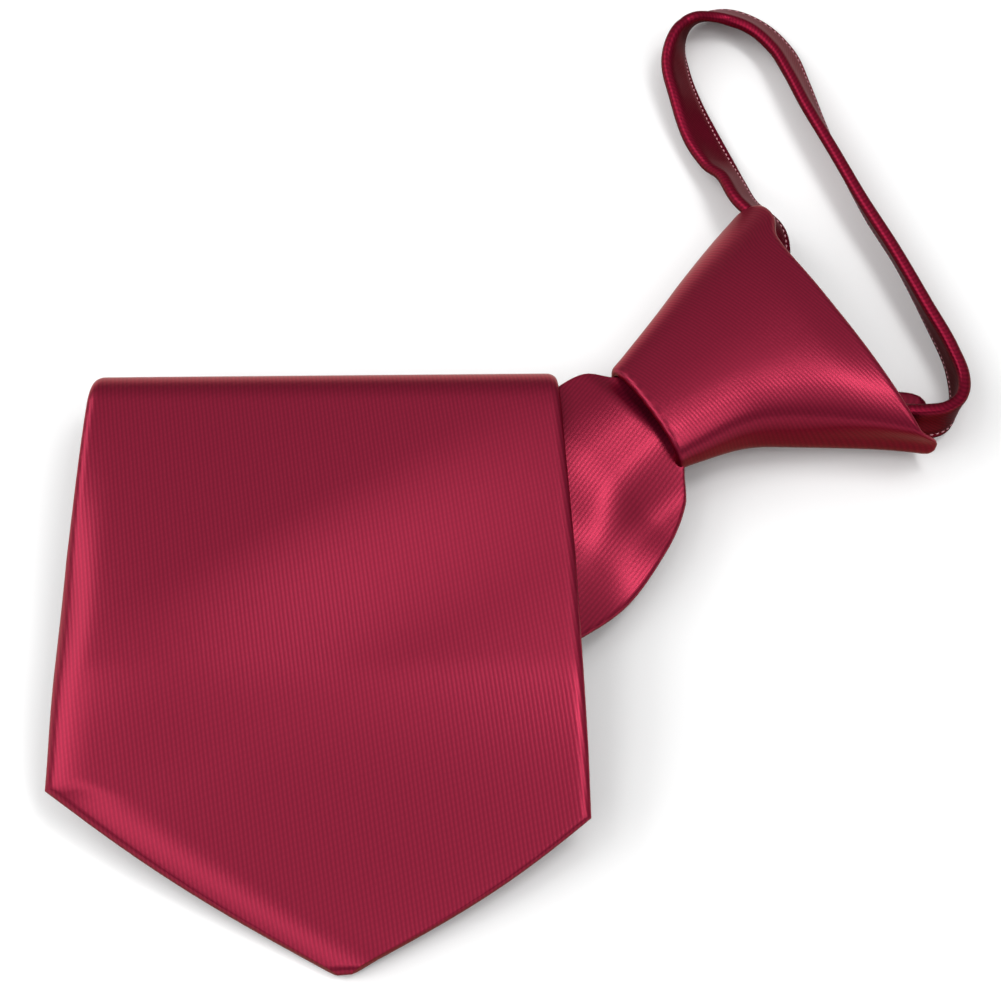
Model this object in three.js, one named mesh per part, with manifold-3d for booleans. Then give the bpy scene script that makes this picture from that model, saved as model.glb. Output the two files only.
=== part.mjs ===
// A satin zipper tie lying on a table, its blade folded under so that the point lies on top.
// Millimetres, +Z up, the viewer on the -Y side. Long directions are called headings:
// degrees from +X towards +Y, seen from above.
import * as THREE from "three";
import { mergeVertices } from "three/addons/utils/BufferGeometryUtils.js";
import Module from "manifold-3d";

// The blade
const bladeWidth = 89; // across the two corners of the point
const clothThick = 2.2; // the folded and pressed satin
const layerGap = 0.6; // air between two layers of the folded blade
const panelLength = 98.5; // from the top fold's end to the tip of the point
const tipShift = 4.8; // how far the tip lies to the right of the panel's middle
const neckHeading = 226; // where the blade points as it leaves the knot
const rootLength = 24; // the stretch hidden inside the knot
const panelTipHeight = 1.6; // the middle of the cloth at the point
const leftSag = 5.5; // how far the panel's left edge lies below its middle
const rightSink = 0.42; // the share of its height by which the folded stack sinks to the right
const pointBulge = 2; // how far the sides of the point bow outwards
const climbLength = 26; // the stretch over which the blade climbs into the knot
const shoulderHeight = 6; // of the blade's left shoulder beside the knot's mouth
const pleatHeight = 1.2; // of the soft pleat in front of the mouth
const marginDroop = 3.2; // how far the right margin hangs below the pleat

// The knot
const mouthX = 26; // the middle of the knot's mouth, seen from above
const mouthY = 8.9;
const knotHeading = 31.3; // from the mouth to the top of the knot
const knotLength = 39.5;
const knotTopWidth = 58;
const knotHeight = 20;
const wrapThick = 2.4; // the cloth that is wrapped round the knot
const mouthHeight = 12; // where the blade's middle passes through the mouth

// The neck strap
const loopReach = 82; // from the middle of the knot's top to the far bend of the loop
const strapWidth = 8.2;
const strapThick = 2.3; // at the folded edge
const hemThick = 1.3; // at the stitched edge
const tableGap = 0.2; // the strap's edge rests this far above the knot's underside

// The zipper
const zipperLength = 84;
const zipperStart = -18; // its upper end, measured from the knot's mouth along the blade
const tapeWidth = 12;
const tapeThick = 0.7;
const chainWidth = 4;
const chainThick = 1.5;
const sliderLength = 9;
const sliderWidth = 7;
const sliderThick = 2;
const pullLength = 11;
const pullWidth = 4.5;
const pullThick = 2.1;

const fit = 0.3; // clearance between pieces that touch
const satin = 0x8b1a35;
const satinDark = 0x74152d;
const tapeColour = 0x5e1020;

const rad = THREE.MathUtils.degToRad;
const lerp = THREE.MathUtils.lerp;
const smooth = THREE.MathUtils.smoothstep;
const pitch = clothThick + layerGap;
const zipperRoom = tapeThick + sliderThick + 4 * fit;

// Reads one column of a table at a place between its rows, in straight steps.
function read(table, key, at, column) {
  const last = table.length - 1;
  if (at <= table[0][key]) return table[0][column];
  if (at >= table[last][key]) return table[last][column];
  const i = table.findIndex((row) => row[key] >= at);
  const a = table[i - 1];
  const b = table[i];
  const t = (at - a[key]) / (b[key] - a[key]);
  return lerp(a[column], b[column], t);
}

// The same, with a smooth curve through the rows.
function readSmooth(table, key, at, column) {
  const last = table.length - 1;
  const x = THREE.MathUtils.clamp(at, table[0][key], table[last][key]);
  const i = Math.max(1, table.findIndex((row) => row[key] >= x));
  const row = (j) => table[Math.min(last, Math.max(0, j))];
  const slope = (j) => {
    const run = row(j + 1)[key] - row(j - 1)[key];
    return (row(j + 1)[column] - row(j - 1)[column]) / run;
  };
  const run = row(i)[key] - row(i - 1)[key];
  const t = (x - row(i - 1)[key]) / run;
  const rise = row(i)[column] - row(i - 1)[column];
  const s0 = slope(i - 1) * run;
  const s1 = slope(i) * run;
  const bend = (s0 - rise) * (1 - t) + (rise - s1) * t;
  return lerp(row(i - 1)[column], row(i)[column], t) + t * (1 - t) * bend;
}

// A closed solid from rings of points: each ring is a loop of [x, y, z], and the first and
// last rings are closed with a fan to their middle, or to each other where the solid is a ring.
function loft(rings, endless = false) {
  const n = rings[0].length;
  const verts = rings.flat();
  const faces = [];
  const spans = endless ? rings.length : rings.length - 1;
  for (let i = 0; i < spans; i++) {
    const a = i * n;
    const b = ((i + 1) % rings.length) * n;
    for (let j = 0; j < n; j++) {
      const k = (j + 1) % n;
      faces.push([a + j, a + k, b + k], [a + j, b + k, b + j]);
    }
  }
  if (!endless) {
    for (const [ring, flip] of [
      [0, true],
      [rings.length - 1, false],
    ]) {
      const middle = [0, 1, 2].map((c) => rings[ring].reduce((sum, p) => sum + p[c], 0) / n);
      const m = verts.push(middle) - 1;
      for (let j = 0; j < n; j++) {
        const face = [ring * n + j, ring * n + ((j + 1) % n), m];
        faces.push(flip ? face.reverse() : face);
      }
    }
  }
  return outward(verts, faces);
}

// Indexed triangles as a geometry whose faces point out.
function outward(verts, faces) {
  const volume = faces.reduce((sum, [a, b, c]) => {
    const cross = new THREE.Vector3(...verts[b]).cross(new THREE.Vector3(...verts[c]));
    return sum + new THREE.Vector3(...verts[a]).dot(cross);
  }, 0);
  const turned = volume < 0 ? faces.map(([a, b, c]) => [a, c, b]) : faces;
  const geometry = new THREE.BufferGeometry();
  geometry.setAttribute("position", new THREE.Float32BufferAttribute(verts.flat(), 3));
  geometry.setIndex(turned.flat());
  return geometry;
}

// How the blade is folded under: the straight run before each fold, the angle by which the
// fold's line leans from square across, and the side to which the rest is folded, in turn
// below or above as the cloth's face looks. Runs are shares of the panel's length.
const foldTable = [
  { run: 0.718, lean: 23.8, side: -1, radius: (pitch + zipperRoom) / 2 },
  { run: 0.484, lean: 1.5, side: 1, radius: pitch / 2 },
  { run: 0.573, lean: 0, side: -1, radius: pitch / 2 },
  { run: 0.608, lean: 0, side: -1, radius: (4 * pitch + zipperRoom) / 2 },
];
const folds = [];
let along = 0;
for (const row of foldTable) {
  const start = along + row.run * panelLength;
  const arc = (Math.PI * row.radius) / Math.cos(rad(row.lean));
  folds.push({ ...row, start, end: start + arc });
  along = start + arc;
}
const panelStart = along;
const bladeLength = panelStart + panelLength;
const lowestLayer = clothThick / 2;
const neckLayer = lowestLayer + 3 * pitch + zipperRoom;
const panelLayer = neckLayer + pitch;

// The panel's edges as shares of half its greatest width, where at is a share of the panel's
// length. The corners lie between the last rows, and the sides run from them to the tip.
const panelEdges = [
  { at: 0, left: 0.935, right: 0.925 },
  { at: 0.3, left: 0.97, right: 0.965 },
  { at: 0.66, left: 0.99, right: 0.995 },
  { at: 0.76, left: 1, right: 1 },
];
const cornerLeft = 0.7;
const cornerRight = 0.757;
const tipHalf = 1.2; // half the width of the rounded tip

// The edges from the knot's mouth to the top fold, where at is a share of that length.
const neckEdges = [
  { at: -0.1, left: 0.185, right: 0.185 },
  { at: 0, left: 0.235, right: 0.2 },
  { at: 0.01, left: 0.32, right: 0.26 },
  { at: 0.02, left: 0.345, right: 0.32 },
  { at: 0.055, left: 0.37, right: 0.41 },
  { at: 0.1, left: 0.42, right: 0.455 },
  { at: 0.17, left: 0.5, right: 0.435 },
  { at: 0.3, left: 0.57, right: 0.535 },
  { ...panelEdges[0], at: 1 },
];

// Where the two edges lie across the blade at a length s from the knot's mouth.
function edges(s) {
  const half = bladeWidth / 2;
  if (s <= panelStart) {
    const left = readSmooth(neckEdges, "at", s / panelStart, "left");
    const right = readSmooth(neckEdges, "at", s / panelStart, "right");
    return [-left * half, right * half];
  }
  const at = (s - panelStart) / panelLength;
  const side = (corner, column, sign) => {
    if (at <= corner) return sign * half * read(panelEdges, "at", at, column);
    const t = (at - corner) / (1 - corner);
    const wide = sign * half * read(panelEdges, "at", corner, column);
    return lerp(wide, tipShift + sign * tipHalf, t) + sign * pointBulge * Math.sin(Math.PI * t);
  };
  return [side(cornerLeft, "left", -1), side(cornerRight, "right", 1)];
}

// The folded stack sinks to the right, where fewer layers lie under it: the share of its
// height that is left at a place seen from above. The top fold still holds it up beside it.
// The stretches over which it sinks are shares of the blade's width.
function standing(x, y) {
  const right = smooth(x, mouthX - 0.43 * bladeWidth, mouthX - 0.11 * bladeWidth);
  return 1 - rightSink * right * smooth(mouthY - y, -0.045 * bladeWidth, 0.25 * bladeWidth);
}

// The height of the neck's middle surface above its layer at length s and place t across:
// the rise into the knot, the shoulder on the left, the pleat in the middle and the droop
// of the right margin. Each fades in and out over shares of the climb (u) and of the
// blade's half width (v).
function neckLift(s, t) {
  const [x, y] = placed([s, t, 0]);
  const u = s / climbLength;
  const v = (2 * t) / bladeWidth;
  const rise = (1 - smooth(u, 0.08, 1)) * (mouthHeight / standing(x, y) - neckLayer);
  const spread = smooth(u, -0.04, 0.12) * (1 - smooth(u, 1, 1.9));
  const droop = -marginDroop * spread * smooth(v, 0.18, 0.54);
  const beside = smooth(u, 0, 0.1) * (1 - smooth(u, 0.12, 0.5));
  const shoulder = shoulderHeight * beside * smooth(-v, 0.16, 0.32);
  const ridge = Math.exp(-(((v - 0.07) / 0.135) ** 2));
  const pleat = pleatHeight * spread * ridge * (1 - smooth(u, 0.4, 1));
  return rise + droop + shoulder + pleat;
}

// The height of the panel's middle surface above its layer: it sags to the left and comes
// down to the table at its point.
function panelLift(s, t) {
  const at = (s - panelStart) / panelLength;
  const low = panelLayer - panelTipHeight;
  const left = leftSag * Math.max(0, (-2 * t) / bladeWidth) ** 4 * smooth(at, 0.02, 0.5);
  const free = smooth(at, 0.54, 1.06);
  return -Math.min(low, left * (1 - free) + low * free);
}

function lift(s, t) {
  if (s < folds[0].start) return neckLift(s, t);
  return s > panelStart ? panelLift(s, t) : 0;
}

// Folds the flat blade: a point at length s and place t across, a height h off the cloth's
// middle, is bent round each fold that it lies on or past, from the last fold to the first.
function folded(s, t, h) {
  let x = s;
  let y = t;
  let z = h;
  for (const fold of [...folds].reverse()) {
    const c = Math.cos(rad(fold.lean));
    const n = Math.sin(rad(fold.lean));
    const past = (s - fold.start) * c + t * n;
    if (past <= 0) continue;
    const r = fold.radius;
    const arc = Math.PI * r;
    let across = (x - fold.start) * c + y * n;
    const beside = -(x - fold.start) * n + y * c;
    if (past < arc) {
      const turn = past / r;
      const off = z;
      across = r * Math.sin(turn) - fold.side * off * Math.sin(turn);
      z = fold.side * r * (1 - Math.cos(turn)) + off * Math.cos(turn);
    } else {
      across = -(across - arc);
      z = 2 * fold.side * r - z;
    }
    x = fold.start + across * c - beside * n;
    y = across * n + beside * c;
  }
  return [x, y, z];
}

// Puts a folded point in its place: the blade leaves the knot's mouth along its heading,
// with the first run as the upper layer under the panel.
function placed([x, y, z]) {
  const c = Math.cos(rad(neckHeading));
  const n = Math.sin(rad(neckHeading));
  return [mouthX + x * c - y * n, mouthY + x * n + y * c, neckLayer + z];
}

// Places across the blade, as shares of its half width, and the share of the cloth's half
// thickness there: full but for the soft rolled edge.
const acrossTable = [
  { at: 0, full: 1 },
  { at: 0.28, full: 1 },
  { at: 0.54, full: 1 },
  { at: 0.76, full: 1 },
  { at: 0.9, full: 1 },
  { at: 0.962, full: 0.86 },
  { at: 0.99, full: 0.5 },
];

// The rows of the blade: lengths from the knot's mouth, each with its slant, which follows
// the fold lines so that a whole row bends at once.
function bladeRows() {
  const rows = [];
  const runStep = 5;
  const turnStep = rad(22.5);
  let s = -rootLength;
  let slant = 0;
  const run = (to, nextSlant, step) => {
    const steps = Math.max(1, Math.round((to - s) / step));
    for (let i = 0; i < steps; i++) {
      const t = i / steps;
      rows.push({ s: lerp(s, to, t), slant: lerp(slant, nextSlant, t) });
    }
    s = to;
    slant = nextSlant;
  };
  run(0, 0, runStep);
  run(runStep * 3, 0, runStep / 2);
  for (const fold of folds) {
    run(fold.start, -Math.tan(rad(fold.lean)), runStep);
    run(fold.end, slant, (fold.end - fold.start) * (turnStep / Math.PI));
  }
  run(panelStart + cornerLeft * panelLength, 0, runStep);
  run(panelStart + cornerRight * panelLength, 0, runStep);
  run(bladeLength, 0, runStep);
  rows.push({ s, slant });
  return rows;
}

function bladeGeometry(rows, grow = 0) {
  const shares = acrossTable.map((row) => ({ ...row }));
  const right = [...shares, { at: 1, full: 0 }];
  const left = [...shares].reverse().slice(0, -1).map((row) => ({ at: -row.at, full: row.full }));
  const top = [{ at: -1, full: 0 }, ...left, ...right];
  const ring = ({ s, slant }) => {
    const point = (at, off) => {
      const [low, high] = edges(s);
      const t = lerp(low - grow, high + grow, (at + 1) / 2);
      const h = off * (clothThick / 2 + grow);
      const [x, y, z] = placed(folded(s + slant * t, t, h));
      return [x, y, (z + lift(s, t)) * standing(x, y)];
    };
    const upper = top.map(({ at, full }) => point(at, full));
    const lower = top.slice(1, -1).reverse().map(({ at, full }) => point(at, -full));
    return [...upper, ...lower];
  };
  return loft(rows.map(ring));
}

// The knot's outline, seen from above, and its height: shares of half its top width to
// each side and of its full height, where at is the share of its length from the mouth.
const knotTable = [
  { at: 0, left: 0.43, right: 0.34, top: 0.84, widest: 0.58, bottom: 0.33 },
  { at: 0.1, left: 0.49, right: 0.345, top: 0.86, widest: 0.56, bottom: 0.28 },
  { at: 0.36, left: 0.66, right: 0.39, top: 0.92, widest: 0.5, bottom: 0.15 },
  { at: 0.55, left: 0.795, right: 0.515, top: 0.96, widest: 0.45, bottom: 0.08 },
  { at: 0.8, left: 0.975, right: 0.765, top: 0.99, widest: 0.41, bottom: 0.02 },
  { at: 1, left: 1.1, right: 1, top: 0.96, widest: 0.38, bottom: 0 },
];

// How far the wrap's open end reaches past the knot's length, as a share of it, round the
// section from the right side (0 degrees) over the top: the roll by the strap's left end,
// and underneath the flap of the back layer by its right end.
const knotEnd = [
  { turn: 0, reach: 0.09 },
  { turn: 25, reach: 0 },
  { turn: 110, reach: 0 },
  { turn: 128, reach: 0.025 },
  { turn: 142, reach: 0.1 },
  { turn: 160, reach: 0.11 },
  { turn: 180, reach: 0.04 },
  { turn: 225, reach: 0.025 },
  { turn: 270, reach: 0.025 },
  { turn: 285, reach: 0.13 },
  { turn: 297, reach: 0.25 },
  { turn: 308, reach: 0.2 },
  { turn: 325, reach: 0.09 },
  { turn: 360, reach: 0.09 },
];

// A ring of the knot at a share of its length: round above, flat below, at an inset into
// the wall. The turn goes from the right side over the top to the left side and back below.
function knotRing(at, inset, reachShare) {
  const sides = 36;
  const half = knotTopWidth / 2;
  const low = knotHeight * read(knotTable, "at", at, "bottom") + inset;
  const high = knotHeight * read(knotTable, "at", at, "top") - inset;
  const widest = knotHeight * read(knotTable, "at", at, "widest");
  const points = [];
  for (let i = 0; i < sides; i++) {
    const turn = (360 * i) / sides;
    const c = Math.cos(rad(turn));
    const n = Math.sin(rad(turn));
    const side = c > 0 ? "right" : "left";
    const wide = half * readSmooth(knotTable, "at", at, side) - inset;
    const power = n > 0 ? 2 / 2.1 : 2 / 3.2;
    const tall = n > 0 ? high - widest : widest - low;
    const across = Math.sign(c) * wide * Math.abs(c) ** power;
    const z = widest + Math.sign(n) * tall * Math.abs(n) ** power;
    const reach = reachShare * readSmooth(knotEnd, "turn", turn, "reach");
    points.push(onKnot((at + reach) * knotLength, -across, z));
  }
  return points;
}

// A place on the knot: a length from its mouth, a place across (left is positive) and a height.
function onKnot(length, across, z) {
  const c = Math.cos(rad(knotHeading));
  const n = Math.sin(rad(knotHeading));
  return [mouthX + length * c - across * n, mouthY + length * n + across * c, z];
}

// The wrap: an open tube, its outer wall from the mouth to the top and its inner wall back,
// with rounded rims.
function knotGeometry(wasm) {
  const steps = [0.03, 0.1, 0.22, 0.36, 0.5, 0.65, 0.8, 0.92, 0.985];
  const reach = (at) => smooth(at, 0.5, 1);
  const rings = [];
  const mouthThick = wrapThick * 0.7;
  const wall = (at) => lerp(mouthThick, wrapThick, smooth(at, 0, 0.3));
  rings.push(knotRing(0, mouthThick * 0.5, 0));
  for (const at of steps) rings.push(knotRing(at, 0, reach(at)));
  rings.push(knotRing(1, wrapThick * 0.5, 1));
  for (const at of [...steps].reverse()) rings.push(knotRing(at, wall(at), reach(at)));
  const rootRows = bladeRows().filter((row) => row.s < knotLength / 4);
  const root = solid(wasm, bladeGeometry(rootRows, fit));
  const strap = solid(wasm, strapGeometry(fit));
  return geometryOf(solid(wasm, loft(rings, true)).subtract(root).subtract(strap));
}

// The strap's route is three tables. Each row is the middle of the band seen from above, how
// far it leans outwards from upright, and by what share of the knot's height its lower edge
// is lifted. By the knot, at is a share of the knot's length and side of half its top width,
// with left positive.
const leftEnd = [
  { at: 0.691, side: 0.32, lean: 62, lifted: 0.325 },
  { at: 0.848, side: 0.472, lean: 60, lifted: 0.325 },
  { at: 1.007, side: 0.663, lean: 56, lifted: 0.3 },
  { at: 1.119, side: 0.894, lean: 50, lifted: 0.25 },
  { at: 1.133, side: 1.197, lean: 46, lifted: 0.13 },
  { at: 1.174, side: 1.429, lean: 46, lifted: 0.04 },
];
const rightEnd = [
  { at: 1.324, side: -0.77, lean: 4, lifted: 0.02 },
  { at: 1.225, side: -0.813, lean: -8, lifted: 0.05 },
  { at: 1.126, side: -0.783, lean: -12, lifted: 0.09 },
  { at: 1.003, side: -0.706, lean: -14, lifted: 0.14 },
  { at: 0.868, side: -0.578, lean: -14, lifted: 0.17 },
  { at: 0.74, side: -0.399, lean: -14, lifted: 0.17 },
];

// Round the loop, out (beyond the knot's top) and side are shares of the loop's reach, and
// the band stands on the table.
const loopRows = [
  { out: 0.092, side: 0.572, lean: 62 },
  { out: 0.104, side: 0.659, lean: 68 },
  { out: 0.13, side: 0.763, lean: 54 },
  { out: 0.167, side: 0.863, lean: 42 },
  { out: 0.227, side: 0.932, lean: 8 },
  { out: 0.292, side: 0.958, lean: -34 },
  { out: 0.361, side: 0.939, lean: -54 },
  { out: 0.404, side: 0.873, lean: -54 },
  { out: 0.415, side: 0.776, lean: -50 },
  { out: 0.395, side: 0.681, lean: -42 },
  { out: 0.365, side: 0.571, lean: -34 },
  { out: 0.332, side: 0.427, lean: -22 },
  { out: 0.303, side: 0.281, lean: -17 },
  { out: 0.281, side: 0.128, lean: -16 },
  { out: 0.249, side: -0.038, lean: -10 },
  { out: 0.223, side: -0.156, lean: -2 },
  { out: 0.19, side: -0.23, lean: 8 },
];

// The whole route in millimetres, from inside the knot's left end to inside its right end.
const byKnot = ({ at, side, lean, lifted }) => {
  const [x, y] = onKnot(at * knotLength, side * (knotTopWidth / 2), 0);
  return { x, y, lean, lifted: lifted * knotHeight };
};
const onTable = ({ out, side, lean }) => {
  const [x, y] = onKnot(knotLength + out * loopReach, side * loopReach, 0);
  return { x, y, lean, lifted: 0 };
};
const strapRoute = [...leftEnd.map(byKnot), ...loopRows.map(onTable), ...rightEnd.map(byKnot)];

// The band's section: a place up the band as a share of its width, from the stitched edge
// to the folded one, and its half thickness there.
const strapSection = [
  { up: -0.5, half: 0 },
  { up: -0.46, half: hemThick / 2 - 0.1 },
  { up: -0.3, half: hemThick / 2 },
  { up: 0.1, half: lerp(hemThick, strapThick, 0.4) / 2 },
  { up: 0.34, half: strapThick / 2 },
  { up: 0.45, half: 0.7 * (strapThick / 2) },
  { up: 0.5, half: 0 },
];

// The strap: its section carried along a smooth curve through the route.
function strapGeometry(grow = 0) {
  const curve = new THREE.CatmullRomCurve3(
    strapRoute.map(({ x, y }) => new THREE.Vector3(x, y, 0)),
    false,
    "centripetal",
  );
  const steps = 92;
  const table = strapRoute.map((row, order) => ({ ...row, order }));
  const rings = [];
  for (let i = 0; i <= steps; i++) {
    const u = i / steps;
    const at = u * (strapRoute.length - 1);
    const lean = rad(readSmooth(table, "order", at, "lean"));
    const lifted = Math.max(0, readSmooth(table, "order", at, "lifted"));
    const middle = curve.getPoint(u);
    const heading = curve.getTangent(u);
    const outwards = new THREE.Vector3(-heading.y, heading.x, 0).normalize();
    const up = outwards.clone().multiplyScalar(Math.sin(lean)).setZ(Math.cos(lean));
    const through = outwards.clone().multiplyScalar(Math.cos(lean)).setZ(-Math.sin(lean));
    const rise = (strapWidth / 2) * Math.cos(lean) + (strapThick / 2) * Math.abs(Math.sin(lean));
    const z = tableGap + rise + lifted;
    const point = (row, side) => {
      const off = side * (row.half > 0 ? row.half + grow : 0);
      const p = middle.clone().addScaledVector(up, row.up * (strapWidth + 2 * grow));
      p.addScaledVector(through, off);
      return [p.x, p.y, z + p.z];
    };
    const front = strapSection.map((row) => point(row, 1));
    const back = strapSection.slice(1, -1).reverse().map((row) => point(row, -1));
    rings.push([...front, ...back]);
  }
  return loft(rings);
}

// The zipper lies under the blade's first run and climbs with it. Its parts are strips
// whose width and height stay the same from one length to another.
function zipperStrip(from, to, width, top, bottom) {
  const steps = Math.max(1, Math.round((to - from) / 4));
  const rings = [];
  for (let i = 0; i <= steps; i++) {
    const s = lerp(from, to, i / steps);
    const corner = (side, z) => {
      const [x, y] = placed([s, side * (width / 2), 0]);
      return [x, y, underBlade(s) - fit - z];
    };
    rings.push([corner(-1, top), corner(1, top), corner(1, bottom), corner(-1, bottom)]);
  }
  return loft(rings);
}

// The lowest height of the blade's underside over the zipper's width at length s.
function underBlade(s) {
  const heights = [-0.5, -0.25, 0, 0.25, 0.5].map((share) => {
    const t = share * tapeWidth;
    const [x, y, z] = placed([s, t, lift(s, t) - clothThick / 2]);
    return z * standing(x, y);
  });
  return Math.min(...heights);
}

function zipperGeometry(wasm) {
  const end = zipperStart + zipperLength;
  const slider = end - sliderLength - pullLength;
  const chainTop = tapeThick / 2;
  const parts = [
    zipperStrip(zipperStart, end, tapeWidth, 0, tapeThick),
    zipperStrip(zipperStart, end - fit, chainWidth, chainTop, tapeThick + chainThick),
    zipperStrip(slider, slider + sliderLength, sliderWidth, chainTop, tapeThick + sliderThick),
    zipperStrip(
      slider + sliderLength / 2,
      slider + sliderLength + pullLength,
      pullWidth,
      chainTop,
      tapeThick + pullThick,
    ),
  ];
  const solids = parts.map((part) => solid(wasm, part));
  return geometryOf(solids.reduce((sum, next) => sum.add(next)));
}

// A geometry as a solid that can be joined and cut, and back again.
function solid(wasm, geometry) {
  const merged = mergeVertices(geometry, 1e-3);
  return new wasm.Manifold(
    new wasm.Mesh({
      numProp: 3,
      vertProperties: merged.attributes.position.array,
      triVerts: new Uint32Array(merged.index.array),
    }),
  );
}

function geometryOf(manifold) {
  const mesh = manifold.getMesh();
  const geometry = new THREE.BufferGeometry();
  geometry.setAttribute("position", new THREE.Float32BufferAttribute(mesh.vertProperties, 3));
  geometry.setIndex([...mesh.triVerts]);
  return geometry;
}

function piece(name, geometry, colour, roughness, metalness = 0) {
  const material = new THREE.MeshStandardMaterial({ color: colour, roughness, metalness });
  const mesh = new THREE.Mesh(geometry, material);
  mesh.name = name;
  return mesh;
}

const wasm = await Module();
wasm.setup();

// The tie, shifted so that the middle of its underside is the origin.
const tie = new THREE.Group();
tie.add(
  piece("blade", bladeGeometry(bladeRows()), satin, 0.4),
  piece("knot_wrap", knotGeometry(wasm), satin, 0.4),
  piece("neck_strap", strapGeometry(), satinDark, 0.4),
  piece("zipper", zipperGeometry(wasm), tapeColour, 0.6),
);
const box = new THREE.Box3().setFromObject(tie);
const middle = box.getCenter(new THREE.Vector3());
tie.position.set(-middle.x, -middle.y, -box.min.z);

const root = new THREE.Group();
root.add(tie);
export default root;
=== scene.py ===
# %% [markdown]
# # A satin zipper tie
# A zipper tie is bought ready tied: the wide blade hangs from a sewn knot, and a narrow
# strap goes round the neck. A zipper hidden behind the knot makes the loop larger and
# smaller. Here it lies on a table with its blade folded under, so that the point is on top.
# This script dresses the plain solids of the tie: each piece of cloth is worked out again
# with finer steps, and gets its weave, its edges and its stitches.

import bpy
import numpy as np
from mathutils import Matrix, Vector


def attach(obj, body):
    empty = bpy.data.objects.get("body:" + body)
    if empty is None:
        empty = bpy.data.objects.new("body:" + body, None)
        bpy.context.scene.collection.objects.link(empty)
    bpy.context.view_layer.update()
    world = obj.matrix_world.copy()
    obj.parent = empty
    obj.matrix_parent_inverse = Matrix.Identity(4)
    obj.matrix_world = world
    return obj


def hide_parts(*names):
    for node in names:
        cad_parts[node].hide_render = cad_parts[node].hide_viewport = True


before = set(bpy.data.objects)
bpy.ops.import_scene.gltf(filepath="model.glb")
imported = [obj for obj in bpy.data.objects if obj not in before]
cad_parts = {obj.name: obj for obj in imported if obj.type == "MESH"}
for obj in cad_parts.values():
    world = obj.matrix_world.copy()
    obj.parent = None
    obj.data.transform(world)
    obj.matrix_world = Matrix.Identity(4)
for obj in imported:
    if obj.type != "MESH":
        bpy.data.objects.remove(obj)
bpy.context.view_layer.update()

print("nodes:", ", ".join(sorted(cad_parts)))

# %% [markdown]
# ## Sizes
# The cloth is drawn in millimetres in a frame whose origin is where the camera looks: x to
# the right, y away from the viewer and z up. The part's own origin is the middle of its
# underside, so every finished point is moved by one shift. The main sizes are those of the
# solids; the edges of the neck and the lie of the panel follow the photo more closely.

# %% Sizes
SHIFT = np.array([-5.13, -13.07, 0.0])
BLADE_WIDTH = 89.0
CLOTH = 2.2
LAYER_GAP = 0.6
PANEL_LENGTH = 98.5
TIP_SHIFT = 4.8
TIP_HALF = 1.2
NECK_HEADING = 226.0
ROOT_LENGTH = 24.0
PANEL_TIP_HEIGHT = 2.5
MOUTH = (26.0, 8.9)
KNOT_HEADING = 31.3
KNOT_LENGTH = 39.5
KNOT_TOP_WIDTH = 58.0
KNOT_HEIGHT = 20.0
WRAP = 2.4
MOUTH_HEIGHT = 12.0
STRAP_WIDTH = 8.2
STRAP_THICK = 2.3
LOOP_REACH = 82.0
TABLE_GAP = 0.2
FIT = 0.3
TAPE_THICK = 0.7
SLIDER_THICK = 2.0
PITCH = CLOTH + LAYER_GAP
ZIPPER_ROOM = TAPE_THICK + SLIDER_THICK + 4 * FIT


def smooth(x, start, end):
    """A soft step: 0 before start, 1 after end, and 3t^2 - 2t^3 between them."""
    t = np.clip((x - start) / (end - start), 0, 1)
    return t * t * (3 - 2 * t)


def curve_through(table, at, column):
    """Reads a column of a table of rows at places between them: a cubic through each two
    rows whose slope at a row is that of the line between its two neighbours."""
    rows = np.array(table, float)
    x, y = rows[:, 0], rows[:, column]
    slope = np.gradient(y)
    slope[1:-1] = (y[2:] - y[:-2]) / (x[2:] - x[:-2])
    slope[0] = (y[1] - y[0]) / (x[1] - x[0])
    slope[-1] = (y[-1] - y[-2]) / (x[-1] - x[-2])
    at = np.clip(at, x[0], x[-1])
    i = np.clip(np.searchsorted(x, at, side="left"), 1, len(x) - 1)
    run = x[i] - x[i - 1]
    rise = y[i] - y[i - 1]
    t = (at - x[i - 1]) / run
    bend = (slope[i - 1] * run - rise) * (1 - t) + (rise - slope[i] * run) * t
    return y[i - 1] + t * rise + t * (1 - t) * bend


# %% [markdown]
# ## Turning a grid of points into cloth
# Every piece of this tie is a ring of points, the outline of a section, carried from row to
# row. One function makes the faces between the rows for all of them at once, closes the
# ends, turns the faces outwards and stores where each point lies on the flat cloth, in
# millimetres, so that the weave can follow every fold.

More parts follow.
